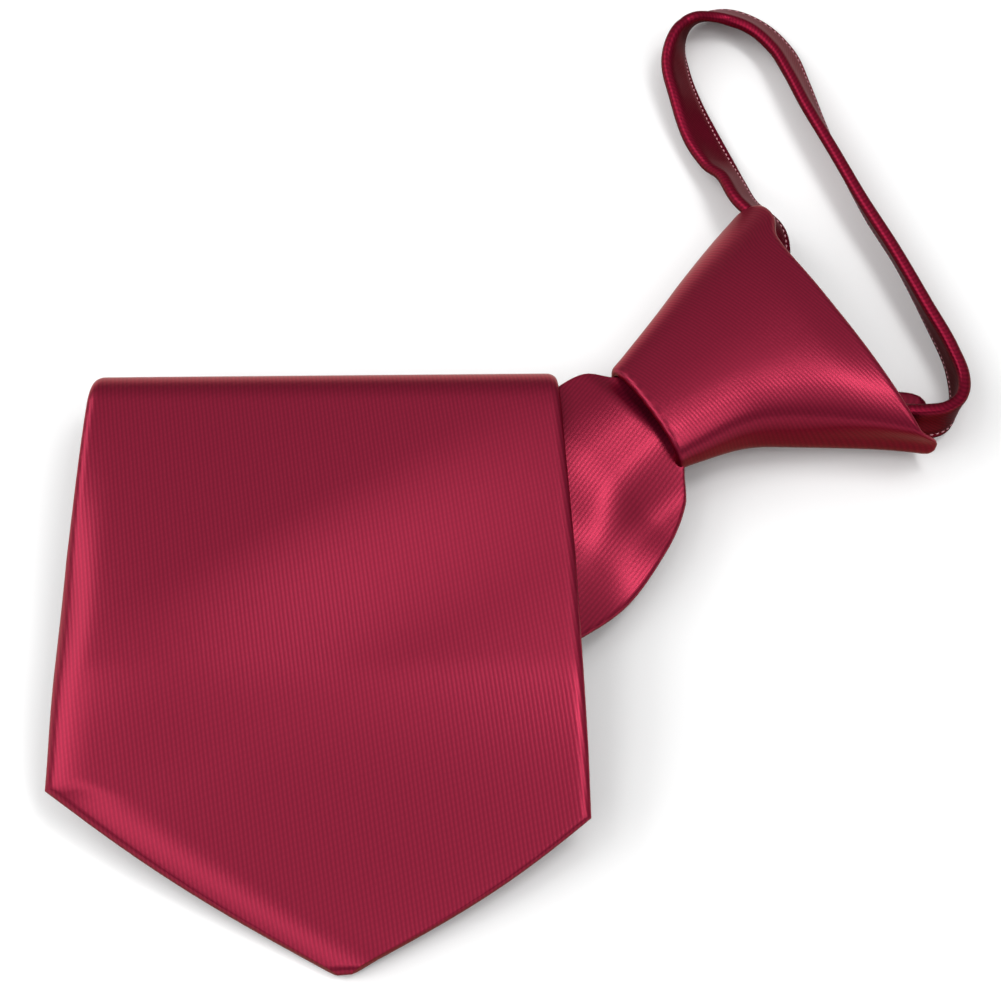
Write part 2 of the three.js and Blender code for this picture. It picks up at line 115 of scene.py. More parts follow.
# %% Skin
def skin(name, rings, cloth, endless=False):
    """A closed surface through rings, an array of rows x points x 3 in millimetres. cloth
    is rows x (points + 1) x 2, the place of each point on the flat cloth. An endless one
    joins its last ring to its first, any other is closed by a fan at both ends."""
    rows, around = rings.shape[:2]
    spans = rows if endless else rows - 1
    i, j = np.meshgrid(np.arange(spans), np.arange(around), indexing="ij")
    below, beside = (i + 1) % rows, (j + 1) % around
    quads = np.stack([i * around + j, i * around + beside, below * around + beside,
                      below * around + j], -1).reshape(-1, 4)
    places = np.stack([cloth[i, j], cloth[i, j + 1], cloth[below, j + 1], cloth[below, j]], -2)
    if endless:
        places[-1, :, 2:] = places[-1, :, 1::-1]
    points = rings.reshape(-1, 3)
    corners, flat = [quads.ravel()], [places.reshape(-1, 2)]
    counts = [np.full(len(quads), 4)]
    if not endless:
        around_once = np.arange(around)
        for row, turned in ((0, True), (rows - 1, False)):
            hub = len(points)
            points = np.vstack([points, rings[row].mean(0)])
            rim = row * around + around_once
            fan = np.stack([rim, np.roll(rim, -1), np.full(around, hub)], -1)
            spots = np.stack([cloth[row, :-1], cloth[row, 1:],
                              np.repeat(cloth[row, :-1].mean(0)[None], around, 0)], -2)
            corners.append((fan[:, ::-1] if turned else fan).ravel())
            flat.append((spots[:, ::-1] if turned else spots).reshape(-1, 2))
            counts.append(np.full(around, 3))
    corners, flat, counts = map(np.concatenate, (corners, flat, counts))
    points = (points + SHIFT) / 1000
    a, b, c, d = (points[quads[:, k]] for k in range(4))
    volume = (np.cross(b - a, c - a) * a).sum() + (np.cross(c - a, d - a) * a).sum()
    mesh = bpy.data.meshes.new(name)
    mesh.vertices.add(len(points))
    mesh.vertices.foreach_set("co", points.ravel())
    mesh.loops.add(len(corners))
    mesh.loops.foreach_set("vertex_index", corners.astype(np.int32))
    mesh.polygons.add(len(counts))
    mesh.polygons.foreach_set("loop_start", (np.cumsum(counts) - counts).astype(np.int32))
    mesh.polygons.foreach_set("loop_total", counts.astype(np.int32))
    mesh.polygons.foreach_set("use_smooth", np.ones(len(counts), bool))
    mesh.update(calc_edges=True)
    mesh.uv_layers.new(name="cloth_mm").data.foreach_set("uv", flat.ravel())
    if volume < 0:
        mesh.flip_normals()
    piece = bpy.data.objects.new(name, mesh)
    bpy.context.collection.objects.link(piece)
    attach(piece, "root")
    print(f"{name}: {len(points)} points, {len(counts)} faces")
    return piece


# %% [markdown]
# ## The blade, flat
# The blade is one long strip of satin round a soft lining, narrow at the knot and 89 mm wide
# at the corners of its point. The flat strip is described by how far its two edges lie from
# its middle at each length s from the knot's mouth, and by where it is folded. The edges are
# shares of half the greatest width, in tables of place, left and right.

# %% The flat blade
PANEL_EDGES = [(0, 0.935, 0.925), (0.3, 0.97, 0.965), (0.66, 0.99, 0.995), (0.76, 1, 1)]
NECK_EDGES = [(-0.1, 0.185, 0.185), (-0.012, 0.22, 0.185), (0.002, 0.32, 0.21),
              (0.02, 0.36, 0.32), (0.055, 0.37, 0.41), (0.1, 0.42, 0.455), (0.17, 0.5, 0.425),
              (0.3, 0.57, 0.55), (1, 0.935, 0.925)]
CORNER_LEFT, CORNER_RIGHT = 0.704, 0.764
POINT_BULGE = 2.5

# Folds in turn: straight run before it as a share of the panel's length, lean of the fold
# line in degrees, the side it is folded to, and its radius.
FOLD_ROWS = [(0.718, 23.8, -1, (PITCH + ZIPPER_ROOM) / 2), (0.484, 1.5, 1, PITCH / 2),
             (0.573, 0, -1, PITCH / 2), (0.608, 0, -1, (4 * PITCH + ZIPPER_ROOM) / 2)]
folds = []
along = 0.0
for run, lean, side, radius in FOLD_ROWS:
    start = along + run * PANEL_LENGTH
    along = start + np.pi * radius / np.cos(np.radians(lean))
    folds.append({"start": start, "end": along, "lean": np.radians(lean), "side": side,
                  "radius": radius})
PANEL_START = along
BLADE_LENGTH = PANEL_START + PANEL_LENGTH
NECK_LAYER = CLOTH / 2 + 3 * PITCH + ZIPPER_ROOM
PANEL_LAYER = NECK_LAYER + PITCH


def blade_edge(s, column, sign, corner):
    """One edge of the flat blade at length s: the tables up to the corner of the point, then
    a line to the tip that bows outwards by a sine."""
    half = BLADE_WIDTH / 2
    at = (s - PANEL_START) / PANEL_LENGTH
    rows = np.array(PANEL_EDGES)
    neck = curve_through(NECK_EDGES, s / PANEL_START, column)
    panel = np.interp(at, rows[:, 0], rows[:, column])
    t = np.clip((at - corner) / (1 - corner), 0, 1)
    wide = half * np.interp(corner, rows[:, 0], rows[:, column])
    point = sign * wide * (1 - t) + (TIP_SHIFT + sign * TIP_HALF) * t
    point += sign * POINT_BULGE * np.sin(np.pi * t)
    return np.where(s <= PANEL_START, sign * half * neck,
                    np.where(at <= corner, sign * half * panel, point))


print(f"blade: {BLADE_LENGTH:.0f} mm beyond the knot, folds at",
      ", ".join(f"{fold['start']:.0f}" for fold in folds))

# %% [markdown]
# ## Folding it
# Real cloth keeps its lengths when it is folded, so the fold is worked out as bending: a
# point that lies past a fold line is carried round a half cylinder and back, and this is
# done for each fold from the last to the first. That keeps the weave true on every layer.

# %% Folding
def folded(s, t, h):
    """Bends the flat place (s, t), a height h off the cloth's middle, round every fold that
    it lies on or past: on the fold by an angle of its way past it over the radius, beyond it
    turned over and led back."""
    x, y, z = (np.array(v, float) for v in np.broadcast_arrays(s, t, h))
    for fold in reversed(folds):
        c, n = np.cos(fold["lean"]), np.sin(fold["lean"])
        past = (s - fold["start"]) * c + t * n
        radius, side = fold["radius"], fold["side"]
        across = (x - fold["start"]) * c + y * n
        beside = -(x - fold["start"]) * n + y * c
        turn = np.clip(past / radius, 0, np.pi)
        on = past < np.pi * radius
        bent = np.where(on, (radius - side * z) * np.sin(turn), np.pi * radius - across)
        high = np.where(on, side * radius * (1 - np.cos(turn)) + z * np.cos(turn),
                        2 * side * radius - z)
        bends = past > 0
        x = np.where(bends, fold["start"] + bent * c - beside * n, x)
        y = np.where(bends, bent * n + beside * c, y)
        z = np.where(bends, high, z)
    return x, y, z


def placed(x, y, z):
    """Turns a folded point to the blade's heading and puts it at the knot's mouth."""
    c, n = np.cos(np.radians(NECK_HEADING)), np.sin(np.radians(NECK_HEADING))
    return MOUTH[0] + x * c - y * n, MOUTH[1] + x * n + y * c, NECK_LAYER + z


# How the hidden stack and the stiffer panel on it sink beside the mouth: the share of the
# height that is lost, between which places to the right, and how far in front it is whole.
STACK_SINK = (0.42, -30.3, 4.4, 22.3)
PANEL_SINK = (0.16, -70, 14, 74)
SINK_BEHIND = 4.0
# The slanting band across the panel: share lost, heading, half width and a place on it.
SLANT_SINK, SLANT_HEADING, SLANT_REACH, SLANT_PLACE = 0.14, 31.3, 16.0, (-37.6, -32.0)


def standing(x, y, sinking=STACK_SINK):
    """The share of its height that the stack keeps: it sinks by a soft step towards the
    right times one towards the front, and by another soft step across a slanting band."""
    sink, left, right, front = sinking
    beside = smooth(x, MOUTH[0] + left, MOUTH[0] + right)
    sunk = sink * beside * smooth(MOUTH[1] - y, -SINK_BEHIND, front)
    heading = np.radians(SLANT_HEADING)
    past = (x - SLANT_PLACE[0]) * np.sin(heading) - (y - SLANT_PLACE[1]) * np.cos(heading)
    slant = SLANT_SINK * (1 - beside) * smooth(past, -SLANT_REACH, SLANT_REACH)
    return (1 - sunk) * (1 - slant)


# %% [markdown]
# ## How the cloth lies
# The blade climbs from the stack into the knot, where it is gathered like a small roof, and
# the panel on top comes down towards the table at its point, with its left edge turned
# down. Satin shows the slightest slope, so the slanting band over which the stack sinks
# matters most here: it is the part of the panel that faces a lamp.

# %% The lie of the cloth
CLIMB = 26.0
MARGIN_DROOP = 3.2
# The roof by the mouth: height of its ridge, and the slopes to the ridge's left and right,
# of the lobe and of the margin, with where across the last two start.
RIDGE_HEIGHT, LEFT_SLOPE, RIGHT_SLOPE = 13.9, 0.12, 0.18
LOBE_START, LOBE_SLOPE, MARGIN_START, MARGIN_SLOPE = 10.0, 0.4, 18.4, 0.49
# The panel's left side: how deep its edge is turned down and how far in that reaches, and
# how deep the side sags.
EDGE_TURN, EDGE_TURN_REACH, LEFT_SAG = 1.8, 7.0, 2.5


def bend(p, width):
    """A line that is 0 up to p = 0 and rises by p after it, rounded by a parabola over
    the width to either side."""
    u = np.clip(p / width, -1, 1)
    return np.maximum(0, p - width) + width * (u + 1) ** 2 / 4


def neck_lift(s, t):
    """Height of the neck above its layer. Far from the knot: the climb and the droop of the
    right margin, soft steps along (u) and across (v). Near it: a roof whose ridge starts at
    the mouth's left corner, with a gentle slope to the right, a steeper lobe, a crease and a
    margin that rises again."""
    x, y, _ = placed(s, t, 0)
    u, v = s / CLIMB, 2 * t / BLADE_WIDTH
    rise = (1 - smooth(u, 0.08, 1)) * (MOUTH_HEIGHT / standing(x, y) - NECK_LAYER)
    spread = smooth(u, -0.04, 0.12) * (1 - smooth(u, 1, 1.9))
    droop = -MARGIN_DROOP * spread * smooth(v, 0.18, 0.54)
    past = t + 6.3 - 0.01 * (s - 12) ** 2
    roof = RIDGE_HEIGHT - LEFT_SLOPE * bend(-past, 4) - RIGHT_SLOPE * bend(past, 4)
    roof += (-LOBE_SLOPE * bend(past - LOBE_START - 0.1 * s, 2.5)
             + MARGIN_SLOPE * bend(past - MARGIN_START, 2.5))
    near = smooth(s, -2, 2) * (1 - smooth(s, 12, 30))
    return (rise + droop) * (1 - near) + (roof / standing(x, y) - NECK_LAYER) * near


def panel_lift(s, t):
    """Height of the panel against its layer: the left side sags by a fourth power, its very
    edge is turned down by a parabola, and a soft step leads the rest down at the point."""
    at = (s - PANEL_START) / PANEL_LENGTH
    v = 2 * t / BLADE_WIDTH
    low = PANEL_LAYER - PANEL_TIP_HEIGHT
    inside = t - blade_edge(s, 1, -1, CORNER_LEFT)
    inside = inside * (1 - 0.45 * smooth(at, CORNER_LEFT - 0.03, CORNER_LEFT + 0.03))
    turned = EDGE_TURN * np.clip(1 - inside / EDGE_TURN_REACH, 0, 1) ** 2 * smooth(at, 0.02, 0.4)
    left = LEFT_SAG * np.maximum(0, -v) ** 4 * smooth(at, 0.02, 0.5)
    free = smooth(at, 0.5, 1.07)
    return -np.minimum(low, left * (1 - free) + low * free) - turned


def lift(s, t):
    """The neck's lift before the first fold, the panel's after the last, none between."""
    return np.where(s < folds[0]["start"], neck_lift(s, t),
                    np.where(s > PANEL_START, panel_lift(s, t), 0))


# %% [markdown]
# ## Rows of the blade
# A row of points has to bend round a fold as a whole, so the rows lean with the fold lines.
# They are close together where the cloth shows and wide apart in the hidden layers. Across,
# the cloth is flat to 2 mm from its edges and then rolls round, as a pressed edge does.

# %% The blade
EDGE_ROLL = 0.045  # as a share of half the width


def blade_rows():
    """Lengths of the rows and their slants: straight steps from one station to the next."""
    stations = [(-ROOT_LENGTH, 0, 0), (-4, 0, 4), (60, 0, 0.75)]
    for fold in folds:
        slant = -np.tan(fold["lean"])
        stations += [(fold["start"], slant, 3), (fold["end"], slant, 0.8)]
    for corner, step in ((CORNER_LEFT, 1), (CORNER_RIGHT, 1), (0.988, 1), (1, 0.3)):
        stations.append((PANEL_START + corner * PANEL_LENGTH, 0, step))
    s, slant = [stations[0][0]], [0.0]
    for (low, slant0, _), (high, slant1, step) in zip(stations, stations[1:]):
        steps = np.linspace(0, 1, max(1, round((high - low) / step)) + 1)[1:]
        s.extend(low + (high - low) * steps)
        slant.extend(slant0 + (slant1 - slant0) * steps)
    return np.array(s)[:, None], np.array(slant)[:, None]


def blade_ring():
    """One section: places from -1 to 1 across and back, and the share of the half thickness
    there: 1, with a quarter ellipse over the last share of the way to each edge."""
    turn = np.linspace(0, np.pi / 2, 9)
    edge_at, edge_full = 1 - EDGE_ROLL + EDGE_ROLL * np.sin(turn), np.cos(turn)
    flat = np.linspace(-(1 - EDGE_ROLL), 1 - EDGE_ROLL, 75)[1:-1]
    at = np.concatenate([-edge_at[::-1], flat, edge_at])
    full = np.concatenate([edge_full[::-1], np.ones(len(flat)), edge_full])
    return (np.concatenate([at, at[-2:0:-1]]), np.concatenate([full, -full[-2:0:-1]]))


s_row, slant_row = blade_rows()
ring_at, ring_full = blade_ring()
left_edge = blade_edge(s_row, 1, -1, CORNER_LEFT)
right_edge = blade_edge(s_row, 2, 1, CORNER_RIGHT)
t_grid = left_edge + (right_edge - left_edge) * (ring_at + 1) / 2
s_grid = s_row + slant_row * t_grid
tip_roll = np.sqrt(1 - np.clip(s_row - BLADE_LENGTH + 1, 0, 0.98) ** 2)
x, y, z = placed(*folded(s_grid, t_grid, ring_full * CLOTH / 2 * tip_roll))
z = z + lift(s_row + 0 * t_grid, t_grid)
z = z * np.where(s_row > PANEL_START, standing(x, y, PANEL_SINK), standing(x, y))
z = np.maximum(z, 0.1 * ring_full)  # nothing lies below the table
flat_places = np.stack([t_grid, s_grid], -1)
flat_places = np.concatenate([flat_places, flat_places[:, :1]], 1)
blade = skin("blade_satin", np.stack([x, y, z], -1), flat_places)
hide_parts("blade")

# %% [markdown]
# ## The knot
# The knot is a padded wrap, narrow at its mouth and wide at its top, with an open end on
# either side of the top where the strap goes in. It is one wall: a profile that runs up the
# outside, round the rim, down the inside and round the mouth's hem, carried round the
# knot's rounded triangle.

# %% The knot
# Place along, half widths to the left and right, and heights of top, widest and bottom.
KNOT_ROWS = [(0, 0.43, 0.34, 0.84, 0.58, 0.33), (0.1, 0.49, 0.345, 0.86, 0.56, 0.28),
             (0.36, 0.66, 0.39, 0.92, 0.5, 0.15), (0.55, 0.795, 0.515, 0.96, 0.45, 0.08),
             (0.8, 0.975, 0.765, 0.99, 0.41, 0.02), (1, 1.1, 1, 0.96, 0.38, 0)]
# How far the open end reaches past the knot's length, round the section from the right side
# over the top: turn in degrees, and a share of the length.
KNOT_END = [(0, 0.09), (25, 0), (110, 0), (128, 0.025), (142, 0.1), (160, 0.11), (180, 0.04),
            (225, 0.025), (270, 0.025), (285, 0.13), (297, 0.25), (308, 0.2), (325, 0.09),
            (360, 0.09)]


def on_knot(length, across, height):
    """A place on the knot from its length beyond the mouth and its way to the left."""
    c, n = np.cos(np.radians(KNOT_HEADING)), np.sin(np.radians(KNOT_HEADING))
    return np.stack([MOUTH[0] + length * c - across * n, MOUTH[1] + length * n + across * c,
                     height + 0 * length], -1)


def knot_wall():
    """The wall's profile as lengths from the mouth and insets from the outside: outside,
    half circle round the rim, inside, half circle round the hem."""
    hem, rim = 0.35 * WRAP, 0.5 * WRAP
    turn = np.linspace(-np.pi / 2, np.pi / 2, 9)
    out = np.linspace(hem, KNOT_LENGTH - rim, 90)[1:-1]
    back = np.linspace(KNOT_LENGTH - rim, hem, 24)[1:-1]
    wall = 2 * (hem + (rim - hem) * smooth(back / KNOT_LENGTH, 0, 0.3))
    length = [out, KNOT_LENGTH - rim + rim * np.cos(turn), back, hem - hem * np.cos(turn)]
    inset = [0 * out, rim + rim * np.sin(turn), wall, hem - hem * np.sin(turn)]
    return np.concatenate(length)[:, None], np.concatenate(inset)[:, None]


def knot_rings(length, inset, turns):
    """Sections of the knot: a superellipse over the top and a flatter one below, from the
    table of half widths and heights, drawn in by the inset."""
    at = length / KNOT_LENGTH
    half = KNOT_TOP_WIDTH / 2
    top, widest, bottom = (KNOT_HEIGHT * curve_through(KNOT_ROWS, at, k) for k in (3, 4, 5))
    low, high = bottom + inset, top - inset
    c, n = np.cos(turns), np.sin(turns)
    wide = half * np.where(c > 0, curve_through(KNOT_ROWS, at, 2),
                           curve_through(KNOT_ROWS, at, 1)) - inset
    full = np.where(c > 0, 2.3 + 0.5 * smooth(at, 0, 0.5), 2.1)
    power = 2 / np.where(n > 0, full, 3.2)
    across = -np.sign(c) * wide * np.abs(c) ** power
    tall = np.where(n > 0, high - widest, widest - low)
    height = widest + np.sign(n) * tall * np.abs(n) ** power
    reach = smooth(at, 0.5, 1) * curve_through(KNOT_END, np.degrees(turns) % 360, 1)
    return on_knot(length + reach * KNOT_LENGTH, across, height)


length, inset = knot_wall()
knot_turns = np.radians(270) + np.linspace(0, 2 * np.pi, 161)[None, :-1]
rings = knot_rings(length, inset, knot_turns)
girth = np.linalg.norm(np.diff(rings, axis=1, append=rings[:, :1]), axis=2)
girth = np.concatenate([0 * girth[:, :1], np.cumsum(girth, axis=1)], 1)
total_girth = girth[:, -1:].copy()
girth -= girth[:, knot_turns.shape[1] // 2, None]
knot_flat = np.stack([girth, length + 0 * girth], -1)
knot = skin("knot_satin", rings, knot_flat, endless=True)
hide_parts("knot_wrap")
outside = slice(0, np.argmax(length[:, 0]))

# %% [markdown]
# ## The neck strap
# The strap is a strip folded lengthwise and stitched along its open edge: thick and round at
# the fold, thin at the stitches. It stands on edge on the table and twists a little. The
# section is carried along a smooth curve, and leans from upright as the table says.

# %% The strap's route
# By the knot: share of the knot's length, share of half its top width to the left, lean
# outwards in degrees and lift as a share of the knot's height. Round the loop: shares of
# the loop's reach beyond the knot's top and to the left, and the lean.
LEFT_END = [(0.691, 0.32, 62, 0.325), (0.85, 0.473, 60, 0.325), (1.009, 0.665, 56, 0.3),
            (1.121, 0.895, 50, 0.25), (1.134, 1.196, 46, 0.13), (1.175, 1.429, 46, 0.04)]
LOOP = [(0.092, 0.571, 62), (0.105, 0.657, 68), (0.131, 0.761, 54), (0.168, 0.861, 42),
        (0.227, 0.93, 8), (0.293, 0.956, -34), (0.361, 0.937, -54), (0.405, 0.871, -54),
        (0.416, 0.774, -50), (0.396, 0.68, -42), (0.366, 0.57, -34), (0.333, 0.426, -22),
        (0.304, 0.28, -17), (0.283, 0.127, -16), (0.25, -0.039, -10), (0.224, -0.157, -2),
        (0.192, -0.232, 8)]
RIGHT_END = [(1.325, -0.77, 4, 0.02), (1.225, -0.813, -8, 0.05), (1.126, -0.783, -12, 0.09),
             (1.004, -0.706, -14, 0.14), (0.869, -0.578, -14, 0.17), (0.741, -0.4, -14, 0.17)]


def by_knot(rows):
    """Rows by the knot as x, y, lean and lift in millimetres."""
    at, side, lean, lifted = np.array(rows).T
    spot = on_knot(at * KNOT_LENGTH, side * KNOT_TOP_WIDTH / 2, 0 * at)
    return np.stack([spot[:, 0], spot[:, 1], lean, lifted * KNOT_HEIGHT], -1)


def on_table(rows):
    """Rows round the loop in the same form, with no lift."""
    out, side, lean = np.array(rows).T
    spot = on_knot(KNOT_LENGTH + out * LOOP_REACH, side * LOOP_REACH, 0 * out)
    return np.stack([spot[:, 0], spot[:, 1], lean, 0 * lean], -1)


def centripetal(points, u):
    """A smooth curve through points at shares u: in each span a cubic whose end slopes are
    weighed by the square roots of the gaps between points, so that it can't loop."""
    mirrored = np.vstack([2 * points[0] - points[1], points, 2 * points[-1] - points[-2]])
    spot = np.clip(u, 0, 1 - 1e-9) * (len(points) - 1)
    i = spot.astype(int)
    w = (spot - i)[:, None]
    p0, p1, p2, p3 = (mirrored[i + k] for k in range(4))
    spans = ((p0, p1), (p1, p2), (p2, p3))
    gap = [np.sqrt(np.linalg.norm(b - a, axis=1))[:, None] for a, b in spans]
    slope1 = ((p1 - p0) / gap[0] - (p2 - p0) / (gap[0] + gap[1]) + (p2 - p1) / gap[1]) * gap[1]
    slope2 = ((p2 - p1) / gap[1] - (p3 - p1) / (gap[1] + gap[2]) + (p3 - p2) / gap[2]) * gap[1]
    return (p1 + slope1 * w + (-3 * p1 + 3 * p2 - 2 * slope1 - slope2) * w**2
            + (2 * p1 - 2 * p2 + slope1 + slope2) * w**3)


route = np.vstack([by_knot(LEFT_END), on_table(LOOP), by_knot(RIGHT_END)])
print(f"strap: {len(route)} places on its route")

# %% The strap
# Place up the band as a share of its width, and the half thickness there: a thin stitched
# edge with a shallow groove under the stitches, and a fat fold.
STITCH_LINE = -0.36
BAND = [(-0.5, 0.2), (-0.49, 0.48), (-0.46, 0.6), (-0.41, 0.64), (STITCH_LINE, 0.5),
        (-0.31, 0.66), (-0.2, 0.7), (0, 0.76), (0.2, 0.95), (0.34, 1.13), (0.42, 1.1),
        (0.47, 0.8), (0.495, 0.35), (0.5, 0.12)]


def strap_frames(u):
    """At shares u of the route: the band's middle, the way up it and the way through it."""
    order = np.arange(len(route))
    table = np.column_stack([order, route])
    at = u * (len(route) - 1)
    lean = np.radians(curve_through(table, at, 3))[:, None]
    lifted = np.maximum(0, curve_through(table, at, 4))
    middle = centripetal(route[:, :2], u)
    heading = centripetal(route[:, :2], u + 1e-4) - centripetal(route[:, :2], u - 1e-4)
    heading /= np.linalg.norm(heading, axis=1)[:, None]
    outwards = np.column_stack([-heading[:, 1], heading[:, 0], 0 * at])
    upright = np.array([0.0, 0, 1])
    up = outwards * np.sin(lean) + upright * np.cos(lean)
    through = outwards * np.cos(lean) - upright * np.sin(lean)
    rise = STRAP_WIDTH / 2 * np.cos(lean) + STRAP_THICK / 2 * np.abs(np.sin(lean))
    return np.column_stack([middle, TABLE_GAP + rise[:, 0] + lifted]), up, through


strap_u = np.linspace(0.0005, 0.9995, 520)
middle, up, through = strap_frames(strap_u)
band = np.array(BAND)
ups = np.concatenate([band[:, 0], band[::-1, 0]])
halves = np.concatenate([band[:, 1], -band[::-1, 1]])
strap_rings = (middle[:, None] + up[:, None] * (ups * STRAP_WIDTH)[:, None]
               + through[:, None] * halves[:, None])
gone = np.concatenate([[0], np.cumsum(np.linalg.norm(np.diff(middle, axis=0), axis=1))])
steps_round = np.append(ups, ups[0]) * STRAP_WIDTH
strap_flat = np.stack(np.broadcast_arrays(steps_round[None], gone[:, None]), -1)
strap = skin("strap_satin", strap_rings, strap_flat)
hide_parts("neck_strap")
print(f"strap: {gone[-1]:.0f} mm long")

# %% [markdown]
# ## Stitches
# A row of machine stitches runs along the strap's open edge. Each stitch is a short bit of
# pale thread that dips into the cloth at both ends. Those of one face are one mesh: the same
# small spindle, put at every place along the seam by adding arrays.

# %% The stitches
STITCH_PITCH = 1.1
STITCH_HALF = 0.36  # half a stitch as a share of the pitch
SPINDLE_PLACES, SPINDLE_SIDES = 5, 6


def stitches(name, side):
    """Spindles along the seam on one face: at each, a ring of points at each place along,
    with a radius that follows half a sine, set off from the band's middle."""
    along, sides = SPINDLE_PLACES, SPINDLE_SIDES
    each = along * sides
    count = int(gone[-1] / STITCH_PITCH) - 4
    centre_mm = STITCH_PITCH * (np.arange(count) + 2.5)
    share = np.linspace(-STITCH_HALF, STITCH_HALF, along)
    u = np.interp(centre_mm[:, None] + share * STITCH_PITCH, gone, strap_u).ravel()
    place, rise, out = (v.reshape(count, along, 3) for v in strap_frames(u))
    seam = place + rise * STITCH_LINE * STRAP_WIDTH
    bow = np.cos(share / STITCH_HALF * np.pi / 2)[None, :, None]
    seam = seam + side * out * (0.42 + 0.16 * bow)
    turn = np.arange(sides) * 2 * np.pi / sides
    radius = 0.05 + 0.1 * bow
    spindle = (seam[:, :, None] + rise[:, :, None] * (radius * np.cos(turn))[..., None]
               + out[:, :, None] * (radius * np.sin(turn))[..., None])
    points = (spindle.reshape(-1, 3) + SHIFT) / 1000
    start = (np.arange(count) * each)[:, None]
    i, j = np.meshgrid(np.arange(along - 1), np.arange(sides), indexing="ij")
    beside = (j + 1) % sides
    quad = np.stack([i * sides + j, i * sides + beside, (i + 1) * sides + beside,
                     (i + 1) * sides + j], -1)
    faces = (start[..., None, None] + quad[None]).reshape(-1, 4).tolist()
    faces += (start + np.arange(sides)[::-1]).tolist()
    faces += (start + each - sides + np.arange(sides)).tolist()
    mesh = bpy.data.meshes.new(name)
    mesh.from_pydata(points.tolist(), [], faces)
    mesh.polygons.foreach_set("use_smooth", np.ones(len(faces), bool))
    piece = bpy.data.objects.new(name, mesh)
    bpy.context.collection.objects.link(piece)
    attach(piece, "root")
    print(f"{name}: {count} stitches")
    return piece


thread_pieces = [stitches("stitches_outside", 1), stitches("stitches_inside", -1)]

# %% [markdown]
# ## Satin
# The tie is polyester satin with a fine rib: bright filament yarns that float over one side
# of the cloth. The floats act like a brushed mirror, so the cloth is dark where it faces
# nothing and coral where it catches a lamp, and the ribs break the light into fine lines.
# A part metallic surface with a dark red base gives both at once, because it tints its
# reflections. The ribs are a bump from two bands of waves on the flat cloth's millimetres, with
# painted shade in their hollows.
# Upright faces are given painted shade: the dye is darkened and the gloss is turned down
# by how far the face is tilted from lying flat.

# %% Colours and nodes
def linear(hex_colour):
    """An sRGB hex colour as linear red, green and blue with full alpha."""
    value = np.array([int(hex_colour[k:k + 2], 16) for k in (1, 3, 5)]) / 255
    low = value <= 0.04045
    return (*np.where(low, value / 12.92, ((value + 0.055) / 1.055) ** 2.4), 1.0)


def add_node(tree, kind, links=(), **settings):
    """Adds one node. A setting named as one of its inputs goes on that socket, any other on
    the node itself. links are pairs of an input's name and another node's output."""
    made = tree.nodes.new(kind)
    for name, value in settings.items():
        spot = name.replace("_", " ")
        if spot in made.inputs:
            made.inputs[spot].default_value = value
        else:
            setattr(made, name, value)
    for name, output in links:
        tree.links.new(output, made.inputs[name])
    return made


def new_material(name, settings):
    """An empty material with one Principled shader that has these settings."""
    made = bpy.data.materials.new(name)
    made.use_nodes = True
    shader = made.node_tree.nodes["Principled BSDF"]
    for spot, value in settings.items():
        shader.inputs[spot].default_value = value
    return made, made.node_tree, shader


# %% Satin
WAVE_PERIOD = 0.314159  # a wave texture of scale 1 repeats at this distance
SHEEN_TINT = linear("#f0c4b8")  # the colour of the shine on top of the dye
SIDE_SHADE = linear("#b8949e")  # painted shade: what the dye is multiplied by on an upright face
